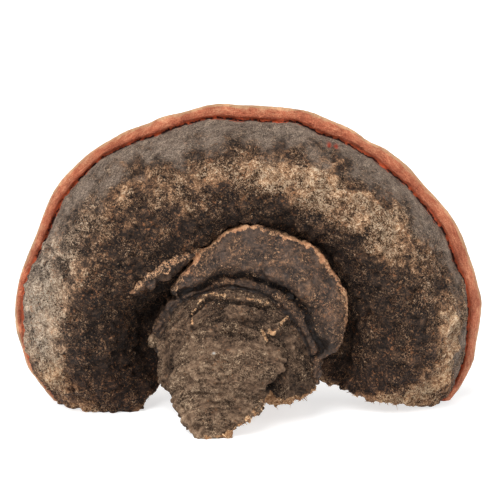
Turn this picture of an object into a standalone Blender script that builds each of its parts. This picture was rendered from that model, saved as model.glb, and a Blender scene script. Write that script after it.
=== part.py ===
"""A perennial reishi bracket, standing on the cut where it left its tree.

The tables are in millimetres and MM turns them into metres. +Z is up and the crusted upper
face of the bracket looks along -Y. Each year's growth is a closed loft round its own centre:
a UV sphere whose poles lie along the growth axis, with every vertex moved to its place on
that year's section. The years are then fused, and cut where the wood was and at the floor.
"""

import bmesh
import bpy
import numpy as np
from mathutils import Vector, noise

MM = 0.001

# The growth axis runs along Y at this place in the part's frame, so that the origin is on
# the floor under the middle of the whole bracket.
AXIS_X = 0.4
AXIS_Y = 23.9

# Last year's growth: the wide fan with its roll, its red-brown margin and its pore face.
FAN_CENTRE = (0.0, 32.0)
FAN_RADIUS = {
    0: 100.8, 12: 101.6, 22: 100.2, 35: 100.4, 43: 100.8, 54: 99.2, 60: 97.7, 69: 97.8,
    78: 99.3, 90: 98.3, 104: 99.7, 113: 99.3, 122: 102.0, 132: 104.4, 142: 103.4, 151: 101.2,
    170: 101.2, 180: 100.1, 190: 97.6, 197: 93.6, 206: 87.0, 225: 70.0, 270: 55.0, 315: 70.0,
    336: 90.5, 344: 96.5, 352: 99.2,
}
MARGIN_WIDTH = {
    0: 5.6, 25: 6.2, 50: 6.2, 75: 5.9, 100: 5.2, 125: 5.3, 150: 4.2, 175: 3.5, 195: 2.8,
    210: 2.4, 270: 2.4, 330: 3.0, 345: 4.2,
}
VALLEY_RADIUS = {
    10: 47.0, 26: 48.5, 46: 50.3, 64: 51.2, 82: 51.5, 96: 49.6, 115: 43.0, 141: 38.0,
    155: 41.0, 170: 46.0, 186: 47.0, 206: 46.0, 270: 40.0, 335: 46.5, 354: 45.5,
}
VALLEY_DEPTH = {
    0: -13.0, 30: -16.0, 60: -18.5, 90: -20.0, 115: -20.0, 141: -17.0, 165: -10.0,
    190: -8.0, 215: -10.0, 270: -14.0, 330: -13.0,
}
ROLL_DEPTH = {
    0: -31.0, 45: -31.5, 90: -30.5, 135: -31.5, 180: -32.0, 205: -31.0, 270: -28.0, 335: -31.0,
}
HUB_FLOOR_DEPTH = -16.0
ROLL_EDGE_DEPTH = -7.0
ROLL_FULLNESS = 0.8
# The roll ends this far short of the groove, whose floor is this far from the margin.
GROOVE_WIDTH = 0.6
GROOVE_INSET = 0.1
GROOVE_DEPTH = -3.9
MARGIN_DEPTH = -0.6
MARGIN_HALF_THICKNESS = 4.4
# The margin's round section starts in the groove and ends at the back, in degrees.
MARGIN_TURN = (82, -90)
PORE_RIM_INSET = 1.5
PORE_RIM_DEPTH = 3.0
PORE_CROWN_DEPTH = 9.5
PORE_FULLNESS = 1.6
# Below this height the fan draws back towards its feet, by this share of its depth.
TOE_HEIGHT = 30.0
TOE_SHARE = 0.40

# The year before: a flat shelf with a thin ragged lip that stands over the valley.
SHELF_CENTRE = (5.0, 38.0)
SHELF_RADIUS = {
    8: 36.9, 24: 39.8, 44: 40.7, 62: 42.6, 78: 43.1, 90: 45.0, 101: 46.0, 114: 44.3,
    128: 42.4, 145: 41.0, 154: 41.0, 158: 37.5, 162: 31.0, 168: 26.0, 180: 24.0, 270: 18.0,
    310: 20.0, 328: 25.0, 338: 31.0, 345: 33.0, 354: 34.8,
}
SHELF_WIDTH = {
    4: 14.7, 18: 18.5, 45: 21.0, 90: 22.8, 111: 19.5, 128: 13.4, 142: 9.4, 152: 5.0,
    162: 3.0, 270: 3.0, 328: 3.4, 340: 4.6, 346: 7.0, 354: 11.2,
}
SHELF_FLOOR_DEPTH = -27.6
SHELF_LIP_DEPTH = -27.0
SHELF_BACK_DEPTH = -6.0
# How far the crescent swells past its lip, in its middle and at its inner edge. It does so
# in full only where it is at least this wide.
SHELF_SWELL = 3.4
SHELF_INNER_SWELL = 3.6
SHELF_FULL_WIDTH = 12.0
SHELF_STEP = 0.4
# The wall under the lip falls in by this much before the back closes.
LIP_THICKNESS = 1.6
LIP_UNDERCUT = 3.2
LIP_WALL_SHARE = 0.6

# An older lobe that looks out from under the shelf's left end, wide at its free end.
LEDGE_PLACE = (-35.3, -24.5, 64.6)
LEDGE_HALF_LENGTH = 18.8
LEDGE_HALF_WIDTH = (6.5, 2.0)
LEDGE_HALF_DEPTH = 6.0
LEDGE_SLOPE = 31.4

# A thin band between the shelf and the old hub, with a knob at its left end.
BAND_CENTRE = (0.0, 25.0)
BAND_RADIUS = {
    9: 30.4, 23: 30.6, 39: 31.4, 53: 32.6, 73: 34.6, 87: 35.2, 99: 36.2, 118: 37.2,
    135: 39.6, 155: 41.4, 168: 41.2, 180: 37.0, 195: 31.0, 225: 22.0, 270: 14.0, 315: 20.0,
    335: 29.0, 347: 31.0,
}
BAND_DEPTH = {0: -28.4, 90: -28.4, 135: -27.6, 165: -24.0, 190: -22.0, 270: -26.0}
BAND_SWELL = 1.6
BAND_FULLNESS = (8.0, 0.5)
BAND_BACK_DEPTH = -8.0
KNOB_PLACE = (-40.0, -23.5, 32.6)
KNOB_RADIUS = 2.6

# The old hub: a dome of several years, torn off along its lower right edge.
DOME_CENTRE = (-3.0, 25.0)
DOME_RADIUS = {
    6: 30.0, 20: 28.9, 45: 29.1, 61: 29.8, 76: 31.2, 90: 32.2, 103: 33.1, 118: 34.4,
    139: 35.9, 158: 36.0, 177: 35.4, 195: 34.2, 205: 32.6, 217: 26.0, 240: 18.5, 270: 17.0,
    296: 19.4, 311: 23.2, 320: 27.3, 333: 31.0, 345: 32.6, 354: 31.6,
}
DOME_EDGE_DEPTH = -29.5
DOME_CROWN_DEPTH = -46.5
DOME_FULLNESS = (2.6, 0.62)
DOME_BACK_DEPTH = -6.0

# The oldest growth: the snout that leans out over the cut, with the heel behind it.
SNOUT_CENTRE = (-10.0, 20.0)
SNOUT_RADIUS = {
    8: 22.0, 16: 26.4, 27: 27.9, 45: 26.2, 60: 25.6, 82: 25.6, 105: 24.8, 125: 24.2,
    141: 23.2, 156: 22.4, 172: 21.6, 187: 21.6, 203: 23.6, 220: 23.8, 235: 22.6, 248: 22.6,
    259: 22.0, 270: 20.0, 282: 18.2, 296: 16.8, 312: 17.8, 326: 19.4, 338: 19.0, 355: 19.6,
}
SNOUT_EDGE_DEPTH = {
    0: -47.0, 30: -46.0, 60: -44.2, 90: -44.0, 135: -43.0, 180: -43.6, 215: -50.0, 250: -57.5,
    290: -56.5, 330: -50.0,
}
SNOUT_CROWN_DEPTH = -56.5
SNOUT_LEAN = 0.20
SNOUT_POWER = 2.2
SNOUT_ROOT = {0: 0.8, 45: 0.95, 90: 1.1, 135: 0.95, 180: 0.7, 270: 0.7}
HEEL_DEPTH = 1.0
HEEL_TAPER = 0.82

# Where the wood was: the open arches between the two feet and the heel, seen from the front.
WOOD_LINE = (
    (-49.0, -30.0), (-48.6, -3.0), (-46.8, 2.4), (-41.8, 5.6), (-37.4, 9.6), (-30.0, 10.8),
    (-12.0, 11.0), (8.0, 10.6), (22.0, 12.6), (31.0, 12.6), (36.6, 9.8), (42.6, 9.0),
    (47.6, 7.6), (57.0, 5.7), (68.0, 2.8), (75.5, 0.4), (79.0, -4.0), (79.0, -30.0),
)
WOOD_HALF_LENGTH = 120.0
FLOOR_BLOCK = (300.0, 200.0, 40.0)

# Broad unevenness of the growth: (wavelength, amplitude) pairs.
FAN_LUMPS = ((28.0, 1.8), (13.0, 0.9))
HUB_LUMPS = ((14.0, 1.2), (7.0, 0.7))
NOISE_APART = ((0, 0, 0), (31.7, 12.3, 45.1), (-17.9, 64.3, 8.6))

CRUST_COLOUR = (0.058, 0.043, 0.032, 1.0)
CRUST_ROUGHNESS = 0.82


def around(knots, compass):
    """A closed curve through {degrees: value}, read at the angles in compass.

    It has no wiggle between two knots: the slope at a knot is the harmonic mean of the
    slopes on its two sides, and zero where they differ in sign.
    """
    at = np.array(sorted(knots), float)
    value = np.array([knots[a] for a in sorted(knots)], float)
    at = np.concatenate([at - 360, at, at + 360])
    value = np.tile(value, 3)
    rise = np.diff(value) / np.diff(at)
    before, after = rise[:-1], rise[1:]
    same = before * after > 0
    slope = np.zeros(len(at))
    slope[1:-1] = np.where(same, 2 * before * after / np.where(same, before + after, 1), 0)
    i = np.clip(np.searchsorted(at, compass, side="right") - 1, 0, len(at) - 2)
    span = at[i + 1] - at[i]
    t = (compass - at[i]) / span
    return (
        value[i] * (1 + 2 * t) * (1 - t) ** 2
        + value[i + 1] * t**2 * (3 - 2 * t)
        + slope[i] * span * t * (1 - t) ** 2
        - slope[i + 1] * span * t**2 * (1 - t)
    )


def mix(a, b, share):
    return a + (b - a) * share


def stretch(ring, first, last):
    """Which vertices lie on the rings from first to last, and how far along each is."""
    return (ring >= first) & (ring <= last), np.clip((ring - first) / (last - first), 0, 1)


def fan_section(ring, compass, counts):
    """Radius and depth on the fan: hub floor, roll, groove, margin, pore face."""
    floor_end, roll_end, margin_end, rings = np.cumsum(counts)
    outer = around(FAN_RADIUS, compass)
    width = around(MARGIN_WIDTH, compass)
    valley = around(VALLEY_RADIUS, compass)
    valley_depth = around(VALLEY_DEPTH, compass)
    edge = outer - width

    on_roll, s = stretch(ring, floor_end, roll_end)
    base = mix(valley_depth, ROLL_EDGE_DEPTH, s)
    height = around(ROLL_DEPTH, compass) - mix(valley_depth, ROLL_EDGE_DEPTH, 0.5)
    roll_depth = base + height * (4 * s * (1 - s)) ** ROLL_FULLNESS
    roll_radius = mix(valley, edge - GROOVE_INSET - GROOVE_WIDTH, s)

    on_margin, s = stretch(ring, roll_end + 1, margin_end)
    turn = np.radians(mix(*MARGIN_TURN, s))
    margin_radius = edge + width * np.cos(turn)
    margin_depth = MARGIN_DEPTH - MARGIN_HALF_THICKNESS * np.sin(turn)

    on_floor, s = stretch(ring, 0, floor_end)
    floor_radius = valley * s
    floor_depth = mix(HUB_FLOOR_DEPTH, valley_depth, s**2)

    _, s = stretch(ring, margin_end, rings)
    pore_radius = (edge - PORE_RIM_INSET) * (1 - s)
    pore_depth = mix(PORE_RIM_DEPTH, PORE_CROWN_DEPTH, 1 - (1 - s) ** PORE_FULLNESS)

    in_groove = ring == roll_end + 1
    where = [on_floor, on_roll, in_groove, on_margin]
    groove_radius = edge - GROOVE_INSET
    groove_depth = np.full(len(ring), GROOVE_DEPTH)
    radius = np.select(where, [floor_radius, roll_radius, groove_radius, margin_radius], pore_radius)
    depth = np.select(where, [floor_depth, roll_depth, groove_depth, margin_depth], pore_depth)
    return radius, depth


def shelf_section(ring, compass, counts):
    """Flat inside, a swollen crescent, a thin lip and the undercut below it."""
    inner_end, lip_ring, rings = np.cumsum(counts)
    outer = around(SHELF_RADIUS, compass)
    width = around(SHELF_WIDTH, compass)
    full = np.minimum(1, width / SHELF_FULL_WIDTH)
    on_inner, s = stretch(ring, 0, inner_end)
    inner_radius = (outer - width) * s
    on_crescent, t = stretch(ring, inner_end + 1, lip_ring)
    crescent_radius = mix(outer - width + SHELF_STEP, outer, t)
    swell = SHELF_INNER_SWELL * (1 - t) + SHELF_SWELL * np.sin(np.pi * t) ** 0.8
    crescent_depth = SHELF_LIP_DEPTH - full * swell
    _, u = stretch(ring, lip_ring + 1, rings)
    down = np.minimum(1, u / LIP_WALL_SHARE)
    inward = np.maximum(0, u - LIP_WALL_SHARE) / (1 - LIP_WALL_SHARE)
    back_radius = (outer - LIP_UNDERCUT * full * down) * (1 - inward)
    back_depth = mix(SHELF_LIP_DEPTH + LIP_THICKNESS, SHELF_BACK_DEPTH, down)
    where = [on_inner, on_crescent]
    floor_depth = np.full(len(ring), SHELF_FLOOR_DEPTH)
    radius = np.select(where, [inner_radius, crescent_radius], back_radius)
    depth = np.select(where, [floor_depth, crescent_depth], back_depth)
    return radius, depth


def cap_section(ring, counts, outer, edge_depth, crown_depth, fullness, back_depth, taper=1.0):
    """A rounded cap in front of a straight wall that runs back into the older growth."""
    front_end, wall_end, rings = np.cumsum(counts)
    power, root = fullness
    on_front, s = stretch(ring, 0, front_end)
    front_depth = edge_depth + (crown_depth - edge_depth) * (1 - s**power) ** root
    on_wall, t = stretch(ring, front_end, wall_end)
    wall_depth = mix(edge_depth, back_depth, t)
    _, u = stretch(ring, wall_end, rings)
    where = [on_front, on_wall]
    radius = np.select(where, [outer * s, outer * mix(1, taper, t)], outer * taper * (1 - u))
    depth = np.select(where, [front_depth, wall_depth], back_depth)
    return radius, depth


def band_section(ring, compass, counts):
    depth = around(BAND_DEPTH, compass)
    outer = around(BAND_RADIUS, compass)
    crown = depth - BAND_SWELL
    return cap_section(ring, counts, outer, depth, crown, BAND_FULLNESS, BAND_BACK_DEPTH)


def dome_section(ring, compass, counts):
    outer = around(DOME_RADIUS, compass)
    return cap_section(
        ring, counts, outer, DOME_EDGE_DEPTH, DOME_CROWN_DEPTH, DOME_FULLNESS, DOME_BACK_DEPTH
    )


def snout_section(ring, compass, counts):
    outer = around(SNOUT_RADIUS, compass)
    edge = around(SNOUT_EDGE_DEPTH, compass)
    fullness = (SNOUT_POWER, around(SNOUT_ROOT, compass))
    radius, depth = cap_section(
        ring, counts, outer, edge, SNOUT_CROWN_DEPTH, fullness, HEEL_DEPTH, HEEL_TAPER
    )
    on_front, s = stretch(ring, 0, counts[0])
    lean = SNOUT_LEAN * radius * np.sin(np.radians(compass)) * (1 - s**2)
    return radius, depth + np.where(on_front, lean, 0)


def lumps(point, waves):
    """The unevenness of living growth: a small shift that varies smoothly with place."""
    shift = Vector()
    for wavelength, amplitude in waves:
        place = Vector(point) / wavelength
        shift += amplitude * Vector([noise.noise(place + Vector(apart)) for apart in NOISE_APART])
    return shift


def ball(name, spokes, rings):
    """A UV sphere of radius 1, as a mesh and as an array of its vertices."""
    sphere = bmesh.new()
    bmesh.ops.create_uvsphere(sphere, u_segments=spokes, v_segments=rings, radius=1)
    mesh = bpy.data.meshes.new(name)
    sphere.to_mesh(mesh)
    sphere.free()
    unit = np.empty(len(mesh.vertices) * 3)
    mesh.vertices.foreach_get("co", unit)
    return mesh, unit.reshape(-1, 3)


def grown(mesh, points, waves):
    """An object of the mesh, with its vertices at the points, made uneven."""
    points = points + np.array([lumps(p, waves) for p in points]) + (AXIS_X, AXIS_Y, 0)
    mesh.vertices.foreach_set("co", (points * MM).ravel())
    mesh.update()
    return bpy.data.objects.new(mesh.name, mesh)


def loft(name, centre, section, counts, spokes, waves, toe=False):
    """One year's growth, from a sphere whose poles lie along the growth axis."""
    rings = sum(counts)
    mesh, unit = ball(name, spokes, rings)
    ring = np.round(np.arccos(np.clip(unit[:, 2], -1, 1)) / np.pi * rings)
    compass = np.degrees(np.arctan2(unit[:, 1], unit[:, 0])) % 360
    radius, depth = section(ring, compass, counts)
    x = centre[0] + radius * np.cos(np.radians(compass))
    z = centre[1] + radius * np.sin(np.radians(compass))
    if toe:
        depth = depth * (1 - TOE_SHARE * np.clip(1 - z / TOE_HEIGHT, 0, 1) ** 2)
    return grown(mesh, np.stack([x, depth, z], axis=1), waves)


def ledge():
    """An egg that lies up a slope, with its blunt end at the lower left."""
    mesh, unit = ball("ledge", 24, 14)
    along = LEDGE_HALF_LENGTH * unit[:, 2]
    across = unit[:, 0] * mix(*LEDGE_HALF_WIDTH, (1 + unit[:, 2]) / 2)
    depth = LEDGE_HALF_DEPTH * unit[:, 1]
    cos, sin = np.cos(np.radians(LEDGE_SLOPE)), np.sin(np.radians(LEDGE_SLOPE))
    points = np.stack([along * cos - across * sin, depth, along * sin + across * cos], axis=1)
    return grown(mesh, points + LEDGE_PLACE, HUB_LUMPS)


def knob():
    """The small button at the left end of the band."""
    mesh, unit = ball("knob", 12, 8)
    return grown(mesh, KNOB_RADIUS * unit + KNOB_PLACE, ())


def wood():
    """The trunk's side: the arch line drawn from the front and run through the bracket."""
    flat = bpy.data.curves.new("wood_line", "CURVE")
    flat.dimensions = "2D"
    flat.fill_mode = "BOTH"
    flat.extrude = WOOD_HALF_LENGTH * MM
    line = flat.splines.new("POLY")
    line.points.add(len(WOOD_LINE) - 1)
    for point, (x, z) in zip(line.points, WOOD_LINE):
        point.co = ((x + AXIS_X) * MM, z * MM, 0, 1)
    line.use_cyclic_u = True
    outline = bpy.data.objects.new("wood_line", flat)
    bpy.context.scene.collection.objects.link(outline)
    outline.rotation_euler.x = np.pi / 2
    bpy.context.view_layer.update()
    graph = bpy.context.evaluated_depsgraph_get()
    mesh = bpy.data.meshes.new_from_object(outline.evaluated_get(graph))
    closed = bmesh.new()
    closed.from_mesh(mesh)
    bmesh.ops.remove_doubles(closed, verts=closed.verts, dist=1e-6)
    bmesh.ops.recalc_face_normals(closed, faces=closed.faces)
    closed.to_mesh(mesh)
    closed.free()
    cutter = bpy.data.objects.new("wood", mesh)
    cutter.matrix_world = outline.matrix_world
    bpy.data.objects.remove(outline)
    return cutter


def floor():
    """Everything below the surface that the bracket stands on."""
    block = bmesh.new()
    bmesh.ops.create_cube(block, size=1)
    bmesh.ops.scale(block, vec=Vector(FLOOR_BLOCK) * MM, verts=block.verts)
    bmesh.ops.translate(block, vec=(0, 0, -FLOOR_BLOCK[2] / 2 * MM), verts=block.verts)
    mesh = bpy.data.meshes.new("floor")
    block.to_mesh(mesh)
    block.free()
    return bpy.data.objects.new("floor", mesh)


def crust_material():
    material = bpy.data.materials.new("crust")
    material.use_nodes = True
    surface = material.node_tree.nodes["Principled BSDF"]
    surface.inputs["Base Color"].default_value = CRUST_COLOUR
    surface.inputs["Roughness"].default_value = CRUST_ROUGHNESS
    return material


def as_helper(helper, collection):
    collection.objects.link(helper)
    helper.hide_render = True
    helper.display_type = "WIRE"
    return helper


def change(target, operation, helper):
    boolean = target.modifiers.new(helper.name, "BOOLEAN")
    boolean.operation = operation
    boolean.object = helper


def main():
    for old in list(bpy.data.objects):
        bpy.data.objects.remove(old)
    reishi = bpy.data.collections.new("reishi_mushroom")
    helpers = bpy.data.collections.new("growth_and_cutters")
    for collection in (reishi, helpers):
        bpy.context.scene.collection.children.link(collection)

    bracket = loft("bracket", FAN_CENTRE, fan_section, (4, 13, 8, 8), 96, FAN_LUMPS, toe=True)
    reishi.objects.link(bracket)
    bracket.data.materials.append(crust_material())
    change(bracket, "DIFFERENCE", as_helper(wood(), helpers))
    for year in (
        ledge(),
        loft("shelf", SHELF_CENTRE, shelf_section, (2, 6, 4), 60, HUB_LUMPS),
        loft("band", BAND_CENTRE, band_section, (4, 1, 1), 44, HUB_LUMPS),
        loft("dome", DOME_CENTRE, dome_section, (8, 1, 1), 44, HUB_LUMPS),
        loft("snout", SNOUT_CENTRE, snout_section, (9, 4, 1), 44, HUB_LUMPS),
        knob(),
    ):
        change(bracket, "UNION", as_helper(year, helpers))
    change(bracket, "DIFFERENCE", as_helper(floor(), helpers))


main()
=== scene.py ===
"""Looks of the perennial reishi bracket.

The growths are lofted from the same tables as the solid, finer, and fused into three skins:
the fan, the shelves, and the hub with its snout. Noise and marks at given places give them relief,
and each vertex keeps what the colours follow. All is in millimetres in the fungus's own frame:
x and z from the middle of the floor, y along the growth axis, with the margin near zero and
the crust at negative y.
"""

import functools
import itertools
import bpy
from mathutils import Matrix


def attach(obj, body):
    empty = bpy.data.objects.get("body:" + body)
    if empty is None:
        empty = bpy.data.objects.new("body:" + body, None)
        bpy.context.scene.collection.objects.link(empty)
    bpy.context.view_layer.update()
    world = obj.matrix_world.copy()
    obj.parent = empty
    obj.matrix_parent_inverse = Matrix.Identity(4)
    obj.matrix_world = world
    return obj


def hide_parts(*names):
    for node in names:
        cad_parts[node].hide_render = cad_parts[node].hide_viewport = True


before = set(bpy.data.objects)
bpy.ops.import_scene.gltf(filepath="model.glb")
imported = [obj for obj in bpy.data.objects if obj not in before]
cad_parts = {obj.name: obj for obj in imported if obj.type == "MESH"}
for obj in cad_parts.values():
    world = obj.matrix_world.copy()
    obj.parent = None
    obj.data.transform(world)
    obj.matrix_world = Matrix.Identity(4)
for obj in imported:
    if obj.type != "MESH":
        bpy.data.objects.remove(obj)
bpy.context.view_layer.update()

from types import SimpleNamespace

import bmesh
import bpy
import numpy as np
from mathutils import Vector, noise

MM = 0.001
AXIS = np.array([0.4, 23.9, 0.0])

# ---- the growth, as in the solid

# Last year's growth: the wide fan with its roll, its red-brown margin and its pore face.
FAN_CENTRE = (0.0, 32.0)
FAN_RADIUS = {
    0: 100.8, 12: 101.6, 22: 100.2, 35: 100.4, 43: 100.8, 54: 99.2, 60: 97.7, 69: 97.8,
    78: 99.3, 90: 98.3, 104: 99.7, 113: 99.3, 122: 102.0, 132: 104.4, 142: 103.4, 151: 101.2,
    170: 101.2, 180: 100.1, 190: 97.6, 197: 93.6, 206: 87.0, 225: 70.0, 270: 55.0, 315: 70.0,
    336: 90.5, 344: 96.5, 352: 99.2,
}
MARGIN_WIDTH = {
    0: 5.6, 25: 6.2, 50: 6.2, 75: 5.9, 100: 5.2, 125: 5.3, 150: 4.2, 175: 3.5, 195: 2.8,
    210: 2.4, 270: 2.4, 330: 3.0, 345: 4.2,
}
VALLEY_RADIUS = {
    10: 47.0, 26: 48.5, 46: 50.3, 64: 51.2, 82: 51.5, 96: 49.6, 115: 43.0, 141: 38.0,
    155: 41.0, 170: 46.0, 186: 47.0, 206: 46.0, 270: 40.0, 335: 46.5, 354: 45.5,
}
VALLEY_DEPTH = {
    0: -13.0, 30: -16.0, 60: -18.5, 90: -20.0, 115: -20.0, 141: -17.0, 165: -10.0,
    190: -8.0, 215: -10.0, 270: -14.0, 330: -13.0,
}
ROLL_DEPTH = {
    0: -31.0, 45: -31.5, 90: -30.5, 135: -31.5, 180: -32.0, 205: -31.0, 270: -28.0, 335: -31.0,
}
HUB_FLOOR_DEPTH = -16.0
ROLL_EDGE_DEPTH = -7.0
ROLL_FULLNESS = 0.8
# The roll ends this far short of the groove, whose floor is this far from the margin.
GROOVE_WIDTH = 0.6
GROOVE_INSET = 0.1
GROOVE_DEPTH = -3.9
MARGIN_DEPTH = -0.6
MARGIN_HALF_THICKNESS = 4.4
# The margin's round section starts in the groove and ends at the back, in degrees.
MARGIN_TURN = (82, -90)
PORE_RIM_INSET = 1.5
PORE_RIM_DEPTH = 3.0
PORE_CROWN_DEPTH = 9.5
PORE_FULLNESS = 1.6
# Below this height the fan draws back towards its feet, by this share of its depth.
TOE_HEIGHT = 30.0
TOE_SHARE = 0.40

# The year before: a flat shelf with a thin ragged lip that stands over the valley.
SHELF_CENTRE = (5.0, 38.0)
SHELF_RADIUS = {
    8: 36.9, 24: 39.8, 44: 40.7, 62: 42.6, 78: 43.1, 90: 45.0, 101: 46.0, 114: 44.3,
    128: 42.4, 145: 41.0, 154: 41.0, 158: 37.5, 162: 31.0, 168: 26.0, 180: 24.0, 270: 18.0,
    310: 20.0, 328: 25.0, 338: 31.0, 345: 33.0, 354: 34.8,
}
SHELF_WIDTH = {
    4: 14.7, 18: 18.5, 45: 21.0, 90: 22.8, 111: 19.5, 128: 13.4, 142: 9.4, 152: 5.0,
    162: 3.0, 270: 3.0, 328: 3.4, 340: 4.6, 346: 7.0, 354: 11.2,
}
SHELF_FLOOR_DEPTH = -27.6
SHELF_LIP_DEPTH = -27.0
SHELF_BACK_DEPTH = -6.0
# How far the crescent swells past its lip, in its middle and at its inner edge. It does so
# in full only where it is at least this wide.
SHELF_SWELL = 3.4
SHELF_INNER_SWELL = 3.6
SHELF_FULL_WIDTH = 12.0
SHELF_STEP = 0.4
# The wall under the lip falls in by this much before the back closes.
LIP_THICKNESS = 1.6
LIP_UNDERCUT = 3.2
LIP_WALL_SHARE = 0.6

# An older lobe that looks out from under the shelf's left end, wide at its free end.
LEDGE_PLACE = (-35.3, -24.5, 64.6)
LEDGE_HALF_LENGTH = 18.8
LEDGE_HALF_WIDTH = (6.5, 2.0)
LEDGE_HALF_DEPTH = 6.0
LEDGE_SLOPE = 31.4

# A thin band between the shelf and the old hub, with a knob at its left end.
BAND_CENTRE = (0.0, 25.0)
BAND_RADIUS = {
    9: 30.4, 23: 30.6, 39: 31.4, 53: 32.6, 73: 34.6, 87: 35.2, 99: 36.2, 118: 37.2,
    135: 39.6, 155: 41.4, 168: 41.2, 180: 37.0, 195: 31.0, 225: 22.0, 270: 14.0, 315: 20.0,
    335: 29.0, 347: 31.0,
}
BAND_DEPTH = {0: -28.4, 90: -28.4, 135: -27.6, 165: -24.0, 190: -22.0, 270: -26.0}
BAND_SWELL = 1.6
BAND_FULLNESS = (8.0, 0.5)
BAND_BACK_DEPTH = -8.0
KNOB_PLACE = (-40.0, -23.5, 32.6)
KNOB_RADIUS = 2.6

# The old hub: a dome of several years, torn off along its lower right edge.
DOME_CENTRE = (-3.0, 25.0)
DOME_RADIUS = {
    6: 30.0, 20: 28.9, 45: 29.1, 61: 29.8, 76: 31.2, 90: 32.2, 103: 33.1, 118: 34.4,
    139: 35.9, 158: 36.0, 177: 35.4, 195: 34.2, 205: 32.6, 217: 26.0, 240: 18.5, 270: 17.0,
    296: 19.4, 311: 23.2, 320: 27.3, 333: 31.0, 345: 32.6, 354: 31.6,
}
DOME_EDGE_DEPTH = -29.5
DOME_CROWN_DEPTH = -46.5
DOME_FULLNESS = (2.6, 0.62)
DOME_BACK_DEPTH = -6.0

# The oldest growth: the snout that leans out over the cut, with the heel behind it.
SNOUT_CENTRE = (-10.0, 20.0)
SNOUT_RADIUS = {
    8: 22.0, 16: 26.4, 27: 27.9, 45: 26.2, 60: 25.6, 82: 25.6, 105: 24.8, 125: 24.2,
    141: 23.2, 156: 22.4, 172: 21.6, 187: 21.6, 203: 23.6, 220: 23.8, 235: 22.6, 248: 22.6,
    259: 22.0, 270: 20.0, 282: 18.2, 296: 16.8, 312: 17.8, 326: 19.4, 338: 19.0, 355: 19.6,
}
SNOUT_EDGE_DEPTH = {
    0: -47.0, 30: -46.0, 60: -44.2, 90: -44.0, 135: -43.0, 180: -43.6, 215: -50.0, 250: -57.5,
    290: -56.5, 330: -50.0,
}
SNOUT_CROWN_DEPTH = -56.5
SNOUT_LEAN = 0.20
SNOUT_POWER = 2.2
SNOUT_ROOT = {0: 0.8, 45: 0.95, 90: 1.1, 135: 0.95, 180: 0.7, 270: 0.7}
HEEL_DEPTH = 1.0
HEEL_TAPER = 0.82

# Where the wood was: the open arches between the two feet and the heel, seen from the front.
WOOD_LINE = (
    (-49.0, -30.0), (-48.6, -3.0), (-46.8, 2.4), (-41.8, 5.6), (-37.4, 9.6), (-30.0, 10.8),
    (-12.0, 11.0), (8.0, 10.6), (22.0, 12.6), (31.0, 12.6), (36.6, 9.8), (42.6, 9.0),
    (47.6, 7.6), (57.0, 5.7), (68.0, 2.8), (75.5, 0.4), (79.0, -4.0), (79.0, -30.0),
)

# Broad unevenness of the growth: (wavelength, amplitude) pairs.
FAN_LUMPS = ((28.0, 1.8), (13.0, 0.9))
HUB_LUMPS = ((14.0, 1.2), (7.0, 0.7))
NOISE_APART = ((0, 0, 0), (31.7, 12.3, 45.1), (-17.9, 64.3, 8.6))

# ---- what the looks add

# How finely the growths are lofted: the rings on each stretch of a section, and the spokes.
FAN_RINGS, FAN_SPOKES = (8, 70, 30, 20), 320
SHELF_RINGS, SHELF_SPOKES = (10, 40, 30), 360
BAND_RINGS, DOME_RINGS, SNOUT_RINGS = (30, 10, 6), (70, 12, 8), (70, 40, 8)
HUB_SPOKES = 240
# The voxels of the fused skins, and the most triangles that a skin may keep.
FAN_GRAIN = 0.52
HUB_GRAIN = 0.36
TRIANGLE_LIMIT = 196000

# How pale the flaked crust is round the roll: where across it, how wide, how much.
PALE_MIDDLE = {
    -30: 0.62, 0: 0.84, 20: 0.80, 40: 0.56, 60: 0.52, 90: 0.54, 110: 0.56, 130: 0.70,
    150: 0.82, 175: 0.84, 200: 0.80,
}
PALE_SPREAD = {
    -30: 0.34, 0: 0.24, 20: 0.26, 40: 0.30, 60: 0.25, 90: 0.27, 110: 0.30, 130: 0.34,
    150: 0.32, 175: 0.22, 200: 0.20,
}
PALE_SHARE = {
    -30: 0.60, 0: 0.75, 20: 0.55, 40: 0.75, 60: 1.0, 90: 0.95, 110: 0.60, 130: 0.35,
    150: 0.55, 175: 1.15, 200: 0.75,
}
# How far the bead's red skin reaches in over the groove, round the edge.
SKIN_OVER = {0: 0.0, 150: 0.0, 180: 0.7, 205: 1.1, 232: 1.3, 250: 0.0}
# Where across the roll the smooth belt beside the margin starts.
BELT_START = {
    -30: 1.1, 0: 0.97, 20: 0.93, 40: 0.86, 60: 0.85, 90: 0.86, 110: 0.86, 130: 0.90,
    150: 0.97, 175: 1.1,
}
# Paler and darker patches of the fan: where, how wide, and how much paler.
FAN_PATCHES = (
    ((-52.0, 105.0), 4.0, 0.3), ((-84.0, 80.0), 5.0, 0.3), ((32.0, 107.0), 5.5, 0.3),
    ((63.0, 86.0), 5.0, 0.35), ((21.0, 79.0), 4.0, 0.3), ((83.0, 39.0), 3.5, 0.2),
    ((-45.0, 89.0), 5.0, -0.25), ((-12.0, 98.0), 5.5, -0.3), ((-78.0, 65.0), 4.0, -0.3),
    ((-84.0, 42.0), 4.0, -0.3), ((45.0, 78.0), 3.5, -0.2), ((60.0, 7.0), 6.0, 0.4),
    ((74.0, 12.0), 6.0, 0.3), ((-34.0, 84.0), 6.0, 0.25),
)
# How light each crust is on its own, how far left it turns grey, and how low it is warm.
FAN_TONE, SHELF_TONE, HUB_TONE = 0.19, 0.24, 0.27
GREY_LEFT, WARM_HEIGHT = (55, 90), (8, 34)
# The crack between crust and bead, and how deep the pore face starts.
GROOVE_SOFTNESS = 0.9
CRACK_DEPTH, CRACK_PLACE, CRACK_HALF_WIDTH = 0.9, 0.15, 0.45
PORE_START = (1.6, 3.8)
# How near the wood line and how far turned down the fan is torn.
TORN_REACH, TORN_TILT = (1.6, 3.0), (-0.1, 0.3)
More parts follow.
